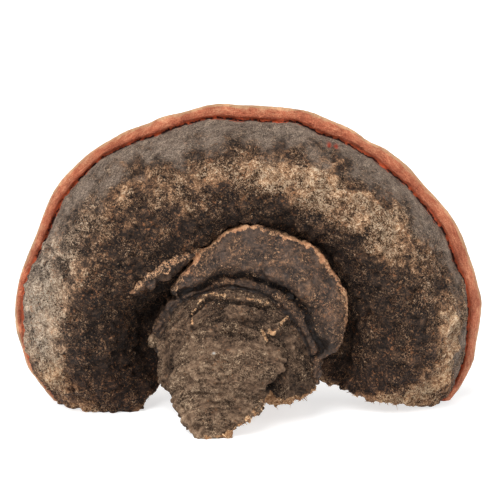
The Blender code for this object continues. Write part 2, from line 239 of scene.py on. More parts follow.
# Below this height, and higher to the right, the roll's inside is lumpy.
HOLLOW_HEIGHT = 30
# Distances round a growth are measured at these radii.
FAN_ARC_RADIUS, SHELF_ARC_RADIUS, SNOUT_ARC_RADIUS = 95, 36, 14
# Where the ledge starts round the shelf, and the growths' fronts start before the margin.
LEDGE_COMPASS = (110, 118)
SHELF_FRONT, DOME_FRONT, SEAM_FRONT, SNOUT_FRONT = (20, 24), (28, 32), (34, 40), (40, 43)
# The creases inside the shelf and round the dome.
SHELF_HOLLOW = 3.2
DOME_GROOVE_FRONT, DOME_GROOVE_HALF_WIDTH = 26, 0.6
# Above which heights the snout's seam and the hub's torn underside end.
SEAM_HEIGHT, UNDER_HEIGHT = (26, 36), (14, 24)
SNOUT_TIP = (-14, -62, -2)
SNOUT_TEAR_DEPTH = -40
# How much of the shelf's lip is worn to tan.
LIP_SHARE = {0: 0.5, 15: 0.9, 60: 1.0, 85: 0.6, 110: 0.9, 130: 0.8, 150: 0.4, 170: 0.0, 340: 0.0}

# Marks on the growth: lines of (x, z) places seen along the growth axis, with half widths.
FOLD = (((-27.0, 95.1), (-24.9, 90.0), (-21.2, 85.8), (-17.9, 80.3)), 0.6)
FLAKE_EDGE = (((62.9, 92.8), (66.7, 90.7), (68.8, 85.2)), 0.4)
BRIGHT_CURL = (((74.5, 68.3), (77.0, 70.4)), 0.5)
LEDGE_RIDGE = (((-48.4, 54.9), (-46.3, 58.4), (-34.9, 66.6), (-22.2, 73.0), (-13.8, 78.6)), 1.4)
DOME_ARC = (((-23.2, 44.3), (-23.6, 48.6), (-17.0, 55.4), (-2.0, 54.6), (8.3, 51.6)), 0.7)
ARC_SHADOW_SHIFT = (0.0, 0.0, 1.6)
DOME_PATCH = (
    ((5.8, 43.0), (7.5, 38.3), (8.6, 41.9), (11.0, 40.4), (13.3, 43.4), (17.0, 45.5)), 0.7,
)
SNOUT_TEAR = (((-17.9, 0.0), (-11.6, 0.0), (-5.4, 3.1), (0.0, 7.0), (5.8, 13.4)), 1.7)
DOME_TEAR = (((10.2, 9.4), (15.7, 7.6), (20.8, 9.4), (26.3, 12.5), (31.4, 15.6)), 1.2)
# Where a line that noise breaks up starts and ends.
BROKEN = (-0.6, 0.2)
# Spots, as a place and a radius, and rings, with their half width too.
PITS = (((-65.3, 96.2), 1.0), ((39.2, 93.6), 1.0))
RED_SPECKS = (((34.4, 115.2), 0.9), ((37.3, 114.3), 0.9))
BUTTON = (KNOB_PLACE[::2], 2.4)
CAVITY = ((9.4, 18.6), 1.8)
PALE_SPECK = ((-13.9, 34.3), 0.5)
RING_FLAKE = ((-34.8, 65.9), 2.2, 0.4)
ROUND_FLAKES = (((1.0, 54.6), 1.3, 0.35), ((6.8, 52.2), 1.2, 0.35), ((-8.6, 56.0), 1.1, 0.35))

# Torn ends: how many stand on a piece and before what depth, and how each is made.
FAN_FIBRES, HUB_FIBRES = (800, 2.0), (1700, -10.0)
FIBRE_SEED = 7
FIBRE_LENGTH, FIBRE_RADIUS, FIBRE_TAPER = (0.5, 0.8), (0.18, 0.32), 0.7
FIBRE_MESH = (5, 3)

# The wood that the bracket was torn from: how fine, how deep and how ragged its side is.
WOOD_REACH = 60.0
WOOD_STEP = 1.0
WOOD_GRAIN = (1.0, 0.5, 1.0)
WOOD_ROUGHNESS = 2.8
WOOD_SPLINTERS = ((4.4, 101, 3, 0.6), (4.4, 102, 3, 0.6), (4.4, 103, 3, 0.6))

# Soft studio light: an even white room, and suns as (name, towards, width in degrees, strength).
SKY = 0.38
SUNS = (("key", (-0.38, -0.50, 0.88), 50.0, 4.1), ("side", (0.8, -0.4, 0.6), 60.0, 1.0))
FLOOR_SHADE = 0.5
FLOOR_GLOW = 0.66
FLOOR_SIZE = 24
FLOOR_PLACE = (0, 2.5, 0)

CAMERA_PLACE = (0.9, -880.3, 254.4)
CAMERA_TILT = 12.0
CAMERA_LENS = 149.7
CAMERA_SENSOR = 36


# ---- the lofts

def around(knots, compass):
    """A closed curve through {degrees: value}, read at the angles in compass.

    The slope at a knot is the harmonic mean of those on its sides, and zero at a turn.
    """
    at = np.array(sorted(knots), float)
    value = np.array([knots[a] for a in sorted(knots)], float)
    at = np.concatenate([at - 360, at, at + 360])
    value = np.tile(value, 3)
    rise = np.diff(value) / np.diff(at)
    before, after = rise[:-1], rise[1:]
    same = before * after > 0
    slope = np.zeros(len(at))
    slope[1:-1] = np.where(same, 2 * before * after / np.where(same, before + after, 1), 0)
    i = np.clip(np.searchsorted(at, compass, side="right") - 1, 0, len(at) - 2)
    span = at[i + 1] - at[i]
    t = (compass - at[i]) / span
    return (
        value[i] * (1 + 2 * t) * (1 - t) ** 2
        + value[i + 1] * t**2 * (3 - 2 * t)
        + slope[i] * span * t * (1 - t) ** 2
        - slope[i + 1] * span * t**2 * (1 - t)
    )


def mix(a, b, share):
    return a + (b - a) * share


def stretch(ring, first, last):
    """Which vertices lie on the rings from first to last, and how far along each is."""
    return (ring >= first) & (ring <= last), np.clip((ring - first) / (last - first), 0, 1)


def fan_section(ring, compass, counts):
    """Radius and depth on the fan: hub floor, roll, groove, margin, pore face."""
    floor_end, roll_end, margin_end, rings = np.cumsum(counts)
    outer = around(FAN_RADIUS, compass)
    width = around(MARGIN_WIDTH, compass)
    valley = around(VALLEY_RADIUS, compass)
    valley_depth = around(VALLEY_DEPTH, compass)
    edge = outer - width

    on_roll, s = stretch(ring, floor_end, roll_end)
    base = mix(valley_depth, ROLL_EDGE_DEPTH, s)
    height = around(ROLL_DEPTH, compass) - mix(valley_depth, ROLL_EDGE_DEPTH, 0.5)
    roll_depth = base + height * (4 * s * (1 - s)) ** ROLL_FULLNESS
    roll_radius = mix(valley, edge - GROOVE_INSET - GROOVE_WIDTH, s)

    on_margin, s = stretch(ring, roll_end + 1, margin_end)
    turn = np.radians(mix(*MARGIN_TURN, s))
    margin_radius = edge + width * np.cos(turn)
    margin_depth = MARGIN_DEPTH - MARGIN_HALF_THICKNESS * np.sin(turn)

    on_floor, s = stretch(ring, 0, floor_end)
    floor_radius = valley * s
    floor_depth = mix(HUB_FLOOR_DEPTH, valley_depth, s**2)

    _, s = stretch(ring, margin_end, rings)
    pore_radius = (edge - PORE_RIM_INSET) * (1 - s)
    pore_depth = mix(PORE_RIM_DEPTH, PORE_CROWN_DEPTH, 1 - (1 - s) ** PORE_FULLNESS)

    in_groove = ring == roll_end + 1
    where = [on_floor, on_roll, in_groove, on_margin]
    groove_radius = edge - GROOVE_INSET
    groove_depth = np.full(len(ring), GROOVE_DEPTH)
    radius = np.select(where, [floor_radius, roll_radius, groove_radius, margin_radius], pore_radius)
    depth = np.select(where, [floor_depth, roll_depth, groove_depth, margin_depth], pore_depth)
    return radius, depth


def shelf_section(ring, compass, counts):
    """Flat inside, a swollen crescent, a thin lip and the undercut below it."""
    inner_end, lip_ring, rings = np.cumsum(counts)
    outer = around(SHELF_RADIUS, compass)
    width = around(SHELF_WIDTH, compass)
    full = np.minimum(1, width / SHELF_FULL_WIDTH)
    on_inner, s = stretch(ring, 0, inner_end)
    inner_radius = (outer - width) * s
    on_crescent, t = stretch(ring, inner_end + 1, lip_ring)
    crescent_radius = mix(outer - width + SHELF_STEP, outer, t)
    swell = SHELF_INNER_SWELL * (1 - t) + SHELF_SWELL * np.sin(np.pi * t) ** 0.8
    crescent_depth = SHELF_LIP_DEPTH - full * swell
    _, u = stretch(ring, lip_ring + 1, rings)
    down = np.minimum(1, u / LIP_WALL_SHARE)
    inward = np.maximum(0, u - LIP_WALL_SHARE) / (1 - LIP_WALL_SHARE)
    back_radius = (outer - LIP_UNDERCUT * full * down) * (1 - inward)
    back_depth = mix(SHELF_LIP_DEPTH + LIP_THICKNESS, SHELF_BACK_DEPTH, down)
    where = [on_inner, on_crescent]
    floor_depth = np.full(len(ring), SHELF_FLOOR_DEPTH)
    radius = np.select(where, [inner_radius, crescent_radius], back_radius)
    depth = np.select(where, [floor_depth, crescent_depth], back_depth)
    return radius, depth


def cap_section(ring, counts, outer, edge_depth, crown_depth, fullness, back_depth, taper=1.0):
    """A rounded cap in front of a straight wall that runs back into the older growth."""
    front_end, wall_end, rings = np.cumsum(counts)
    power, root = fullness
    on_front, s = stretch(ring, 0, front_end)
    front_depth = edge_depth + (crown_depth - edge_depth) * (1 - s**power) ** root
    on_wall, t = stretch(ring, front_end, wall_end)
    wall_depth = mix(edge_depth, back_depth, t)
    _, u = stretch(ring, wall_end, rings)
    where = [on_front, on_wall]
    radius = np.select(where, [outer * s, outer * mix(1, taper, t)], outer * taper * (1 - u))
    depth = np.select(where, [front_depth, wall_depth], back_depth)
    return radius, depth


def band_section(ring, compass, counts):
    depth = around(BAND_DEPTH, compass)
    outer = around(BAND_RADIUS, compass)
    crown = depth - BAND_SWELL
    return cap_section(ring, counts, outer, depth, crown, BAND_FULLNESS, BAND_BACK_DEPTH)


def dome_section(ring, compass, counts):
    outer = around(DOME_RADIUS, compass)
    return cap_section(
        ring, counts, outer, DOME_EDGE_DEPTH, DOME_CROWN_DEPTH, DOME_FULLNESS, DOME_BACK_DEPTH
    )


def snout_section(ring, compass, counts):
    outer = around(SNOUT_RADIUS, compass)
    edge = around(SNOUT_EDGE_DEPTH, compass)
    fullness = (SNOUT_POWER, around(SNOUT_ROOT, compass))
    radius, depth = cap_section(
        ring, counts, outer, edge, SNOUT_CROWN_DEPTH, fullness, HEEL_DEPTH, HEEL_TAPER
    )
    on_front, s = stretch(ring, 0, counts[0])
    lean = SNOUT_LEAN * radius * np.sin(np.radians(compass)) * (1 - s**2)
    return radius, depth + np.where(on_front, lean, 0)


def smooth(value, low, high):
    """0 below low, 1 above high, and an even S between."""
    t = np.clip((value - low) / (high - low), 0, 1)
    return t * t * (3 - 2 * t)


def lumps(points, layers):
    """The unevenness of living growth: a small shift that varies smoothly with place."""
    shift = np.zeros((len(points), 3))
    for wavelength, amplitude in layers:
        for axis, apart in enumerate(NOISE_APART):
            places = points / wavelength + apart
            shift[:, axis] += amplitude * np.array([noise.noise(Vector(p)) for p in places])
    return shift


def ball(name, spokes, rings):
    """A UV sphere of radius 1, as a mesh and as an array of its vertices."""
    sphere = bmesh.new()
    bmesh.ops.create_uvsphere(sphere, u_segments=spokes, v_segments=rings, radius=1)
    mesh = bpy.data.meshes.new(name)
    sphere.to_mesh(mesh)
    sphere.free()
    return mesh, read(mesh.vertices, "co", 3)


def grown(mesh, points, layers):
    write(mesh, points + lumps(points, layers))
    return mesh


def loft(name, centre, section, counts, spokes, layers, toe=False):
    """One year's growth, from a sphere whose poles lie along the growth axis."""
    rings = sum(counts)
    mesh, unit = ball(name, spokes, rings)
    ring = np.round(np.arccos(np.clip(unit[:, 2], -1, 1)) / np.pi * rings)
    compass = np.degrees(np.arctan2(unit[:, 1], unit[:, 0])) % 360
    radius, depth = section(ring, compass, counts)
    x = centre[0] + radius * np.cos(np.radians(compass))
    z = centre[1] + radius * np.sin(np.radians(compass))
    if toe:
        depth = depth * (1 - TOE_SHARE * np.clip(1 - z / TOE_HEIGHT, 0, 1) ** 2)
    return grown(mesh, np.stack([x, depth, z], axis=1), layers)


def ledge():
    """An egg that lies up a slope, with its blunt end at the lower left."""
    mesh, unit = ball("ledge", 96, 120)
    along = LEDGE_HALF_LENGTH * unit[:, 2]
    across = unit[:, 0] * mix(*LEDGE_HALF_WIDTH, (1 + unit[:, 2]) / 2)
    depth = LEDGE_HALF_DEPTH * unit[:, 1]
    cos, sin = np.cos(np.radians(LEDGE_SLOPE)), np.sin(np.radians(LEDGE_SLOPE))
    points = np.stack([along * cos - across * sin, depth, along * sin + across * cos], axis=1)
    return grown(mesh, points + LEDGE_PLACE, HUB_LUMPS)


def knob():
    mesh, unit = ball("knob", 24, 16)
    return grown(mesh, KNOB_RADIUS * unit + KNOB_PLACE, ())


# ---- mesh helpers

def read(sequence, field, width):
    flat = np.empty(len(sequence) * width)
    sequence.foreach_get(field, flat)
    return flat.reshape(-1, width)


def write(mesh, points):
    """Moves a mesh's vertices to points given in the fungus's own frame."""
    mesh.vertices.foreach_set("co", ((points + AXIS) * MM).ravel())
    mesh.update()


def own_points(mesh):
    return read(mesh.vertices, "co", 3) / MM - AXIS


def own_normals(mesh):
    return read(mesh.vertex_normals, "vector", 3)


def linked(name, data):
    piece = bpy.data.objects.new(name, data)
    bpy.context.scene.collection.objects.link(piece)
    return piece


def settled(piece):
    """The piece's mesh with its modifiers applied."""
    graph = bpy.context.evaluated_depsgraph_get()
    mesh = bpy.data.meshes.new_from_object(piece.evaluated_get(graph))
    piece.modifiers.clear()
    return mesh


def joined(name, meshes):
    whole = bmesh.new()
    for mesh in meshes:
        whole.from_mesh(mesh)
    mesh = bpy.data.meshes.new(name)
    whole.to_mesh(mesh)
    whole.free()
    return linked(name, mesh)


class Skin:
    """A piece under one even skin: its vertices, now and before the lumps, and its normals."""

    def __init__(self, piece, grain, layers):
        voxels = piece.modifiers.new("skin", "REMESH")
        voxels.mode = "VOXEL"
        voxels.voxel_size = grain * MM
        self.mesh = piece.data = settled(piece)
        self.points, self.normals = own_points(self.mesh), own_normals(self.mesh)
        self.rest = self.points - lumps(self.points, layers)
        self.ahead = -self.rest[:, 1]

    def lift(self, height):
        """Moves each vertex out by its height, but none below the floor."""
        moved = self.points + self.normals * height[:, None]
        moved[:, 2] = np.maximum(moved[:, 2], 0)
        write(self.mesh, moved)


def wood():
    """The trunk's side: the arch line run through the bracket, with a splintered surface."""
    bends = np.array(WOOD_LINE)
    lengths = np.concatenate([[0], np.cumsum(np.linalg.norm(np.diff(bends, axis=0), axis=1))])
    along = np.linspace(0, lengths[-1], int(lengths[-1] / WOOD_STEP))
    line = np.stack([np.interp(along, lengths, bends[:, k]) for k in (0, 1)], axis=1)
    rows = np.arange(-WOOD_REACH, WOOD_REACH + WOOD_STEP, WOOD_STEP)
    points = np.array([(x, y, z) for y in rows for x, z in line])
    above = smooth(points[:, 2], -2, 2)[:, None]
    splinters = [rough(points * WOOD_GRAIN, *noise) for noise in WOOD_SPLINTERS]
    points += above * np.stack(splinters, axis=1) * WOOD_ROUGHNESS
    block = bmesh.new()
    grid = [block.verts.new((p + AXIS) * MM) for p in points]
    columns = len(line)
    for end in (grid[:columns], grid[-columns:]):
        block.faces.new(end)
    for row in range(len(rows) - 1):
        for column in range(columns):
            a, b = row * columns + column, row * columns + (column + 1) % columns
            block.faces.new((grid[a], grid[b], grid[b + columns], grid[a + columns]))
    bmesh.ops.recalc_face_normals(block, faces=block.faces)
    mesh = bpy.data.meshes.new("wood")
    block.to_mesh(mesh)
    block.free()
    return linked("wood", mesh)


def cut(piece, cutter):
    boolean = piece.modifiers.new("cut", "BOOLEAN")
    boolean.operation = "DIFFERENCE"
    boolean.solver = "MANIFOLD"
    boolean.object = cutter
    piece.data = settled(piece)
    bpy.data.objects.remove(cutter)


def keep(mesh, **values):
    """Stores one number per vertex under each name, for the materials."""
    for name, value in values.items():
        layer = mesh.attributes.new(name, "FLOAT", "POINT")
        layer.data.foreach_set("value", np.ascontiguousarray(value, np.float32))


def thinned(piece):
    """Fewer triangles where the relief needs fewest."""
    count = sum(len(p.vertices) - 2 for p in piece.data.polygons)
    if count > TRIANGLE_LIMIT:
        decimate = piece.modifiers.new("thin", "DECIMATE")
        decimate.ratio = TRIANGLE_LIMIT / count
        piece.data = settled(piece)
    piece.data.shade_smooth()
    return piece


# ---- the noise

def scrambled(cell, seed):
    """Three numbers from -1 to 1 for each lattice cell, the same on every run."""
    c = cell.astype(np.int64).astype(np.uint32)
    h = c[:, 0] * np.uint32(73856093) ^ c[:, 1] * np.uint32(19349663) ^ c[:, 2] * np.uint32(83492791)
    h = h + np.uint32(seed * 7919 + 101)
    out = np.empty((len(cell), 3), np.float32)
    for axis in range(3):
        h = (h ^ (h >> np.uint32(16))) * np.uint32(0x7FEB352D)
        h = (h ^ (h >> np.uint32(15))) * np.uint32(0x846CA68B)
        h = h ^ (h >> np.uint32(16))
        out[:, axis] = h / np.float32(2**31) - 1
    return out


def waves(points, wavelength, seed):
    """Smooth noise of about -1 to 1."""
    place = points / wavelength
    cell = np.floor(place)
    inside = (place - cell).astype(np.float32)
    fade = inside**3 * (inside * (inside * 6 - 15) + 10)
    total = np.zeros(len(points), np.float32)
    for corner in itertools.product((0, 1), repeat=3):
        slope = scrambled(cell + corner, seed)
        weight = np.where(corner, fade, 1 - fade).prod(axis=1)
        total += weight * ((inside - np.array(corner, np.float32)) * slope).sum(axis=1)
    return total * 1.25


def rough(points, wavelength, seed, octaves=3, gain=0.5):
    """Noise on several scales, each half as long as the last."""
    total = 0
    for octave in range(octaves):
        total = total + gain**octave * waves(points, wavelength / 2**octave, seed + octave)
    return total


def billows(points, wavelength, seed):
    """Rounded hills around zero, with sharp creases between them."""
    return np.minimum(2.4 * np.abs(rough(points, wavelength, seed, 2)), 1.4) - 0.5


def pebbles(points, size, seed):
    """Rounded grains of about the given size: 1 in the middle of each and 0 between them."""
    place = points / size
    cell = np.floor(place)
    nearest = np.full(len(points), np.inf, np.float32)
    for corner in itertools.product((-1, 0, 1), repeat=3):
        site = cell + corner + 0.5 + 0.45 * scrambled(cell + corner, seed)
        nearest = np.minimum(nearest, ((place - site) ** 2).sum(axis=1))
    return np.clip(1 - nearest / 0.6, 0, 1)


# ---- places on the growth

def bell(value, half_width):
    """1 where the value is zero, falling off on both sides."""
    return np.exp(-((value / half_width) ** 2))


def from_line(points, line):
    """How far each point is from a line of places, seen along the growth axis."""
    flat = points[:, [0, 2]]
    best = np.full(len(points), np.inf)
    for a, b in zip(line[:-1], line[1:]):
        a, b = np.array(a, float), np.array(b, float)
        along = np.clip(((flat - a) @ (b - a)) / ((b - a) @ (b - a)), 0, 1)
        best = np.minimum(best, np.linalg.norm(flat - (a + along[:, None] * (b - a)), axis=1))
    return best


def stroke(points, line, half_width):
    """1 on a line of places and 0 past its half width, with a soft edge."""
    return 1 - smooth(from_line(points, line), 0.4 * half_width, 1.4 * half_width)


def spot(points, place, radius):
    return stroke(points, (place, (place[0] + 0.01, place[1])), radius)


def ring_mark(points, place, radius, half_width):
    away = np.hypot(points[:, 0] - place[0], points[:, 2] - place[1])
    return bell(away - radius, half_width)


def polar(points, centre):
    x, z = points[:, 0] - centre[0], points[:, 2] - centre[1]
    return np.degrees(np.arctan2(z, x)) % 360, np.hypot(x, z)


# ---- the fan

def fan_places(skin):
    """Where each vertex is on the fan, and how pale, flaked and torn it is there."""
    points, rest, at = skin.points, skin.rest, SimpleNamespace()
    compass, at.reach = polar(rest, FAN_CENTRE)
    at.width = around(MARGIN_WIDTH, compass)
    edge = around(FAN_RADIUS, compass) - at.width - around(SKIN_OVER, compass)
    valley = around(VALLEY_RADIUS, compass)
    at.across = (at.reach - valley) / (edge - valley)
    at.along = np.radians((compass + 90) % 360) * FAN_ARC_RADIUS
    at.belted = np.stack([at.reach, at.along, rest[:, 1]], axis=1)
    on_edge = at.belted * (0, 1, 0)
    at.past = at.reach - edge - (0.3 * waves(on_edge, 6.0, 11) + 0.2 * waves(on_edge, 2.6, 12))
    at.behind = smooth(rest[:, 1], *PORE_START)
    near = 1 - smooth(from_line(points, WOOD_LINE), *TORN_REACH)
    at.torn = near * smooth(-skin.normals[:, 2], *TORN_TILT)

    start = around(BELT_START, compass) + 0.16 * rough(points, 11, 21, 4, 0.65)
    at.belt = smooth(at.across, start - 0.13, start + 0.07)
    at.patches, at.fine = rough(points, 12.0, 31, 4, 0.65), rough(points, 3.6, 36, 3, 0.65)
    middle, spread = around(PALE_MIDDLE, compass), around(PALE_SPREAD, compass)
    at.pale = around(PALE_SHARE, compass) * bell(at.across - middle, spread)
    at.pale += sum(shade * spot(points, place, size) for place, size, shade in FAN_PATCHES)
    at.flaked = smooth(at.pale + 0.38 * at.patches + 0.3 * at.fine, 0.20, 0.90) * (1 - at.belt)
    at.fold = 0.6 * stroke(points, *FOLD) * smooth(at.fine, *BROKEN) + stroke(points, *FLAKE_EDGE)
    at.pits = sum(spot(points, *pit) for pit in PITS)
    at.curls = stroke(points, *BRIGHT_CURL)
    return at


def crust_relief(points, at):
    """Swells, hills and flakes, a lumpy hollow at the lower right, and a calm belt."""
    relief = 1.2 * rough(points, 9.0, 41, 3, 0.55) + 0.6 * pebbles(points, 4.0, 44)
    relief += 1.3 * billows(points, 8.0, 48) + 0.55 * billows(points, 3.2, 45)
    relief += 0.35 * at.flaked * (0.3 + pebbles(points, 2.0, 46)) + 0.16 * rough(points, 1.8, 49, 2)
    low = smooth(HOLLOW_HEIGHT - points[:, 2] + 0.7 * points[:, 0], 0, 20)
    hollow = (1 - smooth(at.across, 0.1, 0.35)) * low
    relief += 1.1 * hollow * (pebbles(points, 5.0, 50) - 0.4)
    relief *= 1 - 0.75 * at.belt
    relief += 0.22 * at.belt * rough(at.belted * (0.9, 0.35, 0.5), 1.6, 47, 2)
    return relief - (1.0 * at.fold + 1.0 * at.pits - 0.5 * at.curls)


def fan_height(points, at, relief):
    """The crust's relief, the bead's ripples, the crack, the pore face and the torn wood."""
    free = (1 - at.behind) * (1 - at.torn)
    ripples = 0.40 * waves(at.belted * (0, 1, 0.2), 11.0, 51)
    ripples += 0.16 * waves(at.belted * (1, 0.18, 1), 1.3, 52)
    ripples += 0.16 * rough(points, 2.2, 53, 2)
    height = (1 - smooth(at.past, -GROOVE_SOFTNESS, 0.0)) * free * relief
    height += smooth(at.past, 0.0, GROOVE_SOFTNESS) * free * ripples
    height -= CRACK_DEPTH * bell(at.past - CRACK_PLACE, CRACK_HALF_WIDTH) * free
    pore_face = 0.35 * rough(points, 14.0, 61, 2) + 0.06 * waves(points, 1.4, 63)
    height += at.behind * (1 - at.torn) * pore_face
    return height + at.torn * 0.35 * rough(points * (1, 0.4, 1), 2.0, 71, 2, 0.6)


def fan():
    rounds = loft("fan", FAN_CENTRE, fan_section, FAN_RINGS, FAN_SPOKES, FAN_LUMPS, toe=True)
    piece = linked("fan", rounds)
    cut(piece, wood())
    skin = Skin(piece, FAN_GRAIN, FAN_LUMPS)
    points, at = skin.points, fan_places(skin)
    relief = crust_relief(points, at)
    skin.lift(fan_height(points, at, relief))
    zone = FAN_TONE + 0.10 * at.pale + 0.06 * at.patches + 0.21 * at.flaked + 0.04 * at.fine
    zone += 0.08 * smooth(at.across, 0.4, 0.8) - 0.05 * (1 - smooth(at.across, 0.0, 0.3))
    # Painted shade and light: the tone follows the relief, darker in the hollows and lighter on the
    # swells, and the fold, the flake edge and the pits are painted dark as shade in their creases.
    zone = zone + 0.07 * (relief - 0.3) - 0.2 * (at.fold + at.pits) + 0.4 * at.curls
    grey = 0.8 * smooth(-points[:, 0], *GREY_LEFT) * smooth(at.across, 0.4, 0.9)
    warm = 1 - smooth(points[:, 2] + 8 * rough(points, 14, 38, 2), *WARM_HEIGHT)
    red = sum(spot(points, *speck) for speck in RED_SPECKS)
    share = at.past / at.width - 0.5 * smooth(skin.rest[:, 1], 0.0, PORE_START[0])
    keep(skin.mesh, zone=zone, past=at.past, share=share, along=at.along, reach=at.reach)
    keep(skin.mesh, behind=at.behind, belt=at.belt, flaked=at.flaked, torn=at.torn)
    keep(skin.mesh, grey=grey, warm=warm, red=red)
    return thinned(piece)


# ---- the shelves

def dome_groove(rest):
    """1 on the ring where the dome comes out of the band, and 0 away from it. The ring is pressed in
    and painted dark as shade.
    """
    compass, reach = polar(rest, DOME_CENTRE)
    above = smooth(np.sin(np.radians(compass)), -0.3, 0.1)
    return bell(reach - around(DOME_RADIUS, compass), DOME_GROOVE_HALF_WIDTH) * above


def shelf_places(skin):
    """Which growth each vertex is on, and how near the lip, the seam and the grooves."""
    points, at = skin.points, SimpleNamespace()
    compass, at.reach = polar(skin.rest, SHELF_CENTRE)
    at.along = np.radians(compass) * SHELF_ARC_RADIUS
    past = at.reach - around(SHELF_RADIUS, compass)
    inner = at.reach - (around(SHELF_RADIUS, compass) - around(SHELF_WIDTH, compass))
    at.on_ledge = smooth(past, 0.9, 1.8) * smooth(compass, *LEDGE_COMPASS)
    off_ledge = 1 - at.on_ledge
    at.on_band = (1 - smooth(inner, -0.9, 0.1)) * off_ledge
    front = smooth(skin.ahead, *SHELF_FRONT)
    at.lip = smooth(past + 1.7 * rough(points, 3.2, 81, 4, 0.65), -1.7, -0.9) * off_ledge * front
    at.lip *= around(LIP_SHARE, compass)
    ridge = 0.6 * stroke(points, *LEDGE_RIDGE) * smooth(rough(points, 2.8, 83, 3), *BROKEN)
    at.ridge = np.maximum(ridge, 0.7 * ring_mark(points, *RING_FLAKE)) * at.on_ledge
    at.seam = bell(inner + 0.2, 0.6) * off_ledge * front
    at.turned_in = bell(np.maximum(inner, 0), SHELF_HOLLOW) * off_ledge * (1 - at.on_band)
    at.groove = dome_groove(skin.rest) * at.on_band
    return at


def shelves():
    piece = joined("shelves", [
        ledge(),
        loft("shelf", SHELF_CENTRE, shelf_section, SHELF_RINGS, SHELF_SPOKES, HUB_LUMPS),
        loft("band", BAND_CENTRE, band_section, BAND_RINGS, HUB_SPOKES, HUB_LUMPS),
    ])
    skin = Skin(piece, HUB_GRAIN, HUB_LUMPS)
    points, at = skin.points, shelf_places(skin)
    turned = np.stack([at.reach, at.along, skin.rest[:, 1]], axis=1)
    relief = 0.7 * rough(points, 6.0, 82, 3) + 0.16 * pebbles(points, 2.2, 84)
    relief += 0.22 * (1 - at.on_band) * rough(turned * (0.35, 1, 0.35), 3.0, 88, 2)
    relief += 0.6 * billows(points, 5.0, 86) * (1 + at.on_ledge)
    relief += 0.45 * at.lip * rough(points, 1.8, 85, 2, 0.6) + 0.6 * at.ridge
    relief += at.on_band * 0.25 * rough(points, 2.0, 87, 2)
    relief -= 0.5 * at.seam + 1.6 * at.turned_in + 0.8 * at.groove
    skin.lift(relief)
    rings = waves(turned * (1, 0.2, 0), 2.4, 80)
    # Painted shade and light: the tone follows the relief, darker in the hollows and lighter on the
    # swells, and the seam, the turned-in inner edge and the groove round the dome are painted dark
    # as shade.
    zone = SHELF_TONE + 0.10 * rough(points, 9.0, 89, 3) + 0.10 * relief
    zone += 0.05 * rings * (1 - at.on_ledge)
    zone -= 0.05 * at.on_ledge
    zone -= 0.12 * at.seam + 0.06 * at.turned_in + 0.03 * at.on_band + 0.15 * at.groove
    keep(skin.mesh, zone=zone, lip=np.maximum(at.lip, at.ridge), ringed=at.reach, around=at.along)
    return thinned(piece)


# ---- the hub

def hub_places(skin):
    """Where each vertex is: on the snout, in the seam round it, and on the torn wood."""
    points, normals, rest = skin.points, skin.normals, skin.rest
    at = SimpleNamespace()
    compass, reach = polar(rest, SNOUT_CENTRE)
    past = reach - around(SNOUT_RADIUS, compass)
    at.turn = np.radians(compass) * SNOUT_ARC_RADIUS
    at.on_snout = (1 - smooth(past, -0.6, 0.8)) * smooth(skin.ahead, *SNOUT_FRONT)
    below = 1 - 0.85 * smooth(rest[:, 2], *SEAM_HEIGHT)
    at.seam = bell(past - 0.9, 1.4) * smooth(skin.ahead, *SEAM_FRONT) * below
    away = np.linalg.norm((points - SNOUT_TIP) * (0.9, 0.9, 1), axis=1)
    at.steps = away + 2.6 * rough(points, 12, 95, 2)
    at.groove = dome_groove(rest) * (skin.ahead > DOME_GROOVE_FRONT)
    tears = stroke(points, *SNOUT_TEAR), stroke(points, *DOME_TEAR)
    torn = np.where(points[:, 1] < SNOUT_TEAR_DEPTH, *tears)
    torn = torn * smooth(1.4 * rough(points, 3.0, 89, 3) - normals[:, 2], -0.4, 0.2)
    under = smooth(-normals[:, 2], 0.5, 0.8) * (1 - smooth(points[:, 2], *UNDER_HEIGHT))
    at.torn = np.maximum(torn, under) * smooth(normals[:, 0], -0.5, 0.0)
    on_dome, past_dome = smooth(skin.ahead, *DOME_FRONT), skin.ahead > DOME_FRONT[1]
    at.arc = stroke(points, *DOME_ARC) * on_dome
    at.arc += sum(0.8 * ring_mark(points, *flake) for flake in ROUND_FLAKES) * past_dome
    # The line just below the dome's arc, pressed in and painted dark as the arc's shadow.
    at.under = stroke(points + ARC_SHADOW_SHIFT, DOME_ARC[0], 0.8) * on_dome
    at.patch = stroke(points, *DOME_PATCH) * on_dome
    at.cavity = spot(points, *CAVITY) * past_dome
    return at


def hub_relief(skin, at):
    """Swells, hills and the creases of old shells, with the seam, the marks and the tears."""
    points = skin.points
    relief = 0.9 * rough(points, 6.0, 91, 3, 0.55) + 0.25 * pebbles(points, 3.0, 94)
    relief += 0.7 * billows(points * (1, 1, 1.4), 6.0, 97)
    relief += 0.3 * billows(points, 2.6, 100) + 0.22 * rough(points, 1.6, 98, 2)
    shells = np.where(at.on_snout > 0.5, at.steps, polar(skin.rest, DOME_CENTRE)[1])
    shells = np.stack([shells, 0.3 * at.turn, 0 * at.turn], axis=1)
    relief += 0.9 * billows(shells, 3.6, 102)
    relief -= 0.9 * at.seam + 2.2 * at.cavity + 0.8 * at.groove + 0.9 * at.under
    relief += 0.5 * at.arc * (0.6 + rough(points, 2.4, 99, 2)) + 0.5 * at.patch
    return relief + at.torn * 1.3 * rough(points, 2.6, 93, 3, 0.65)


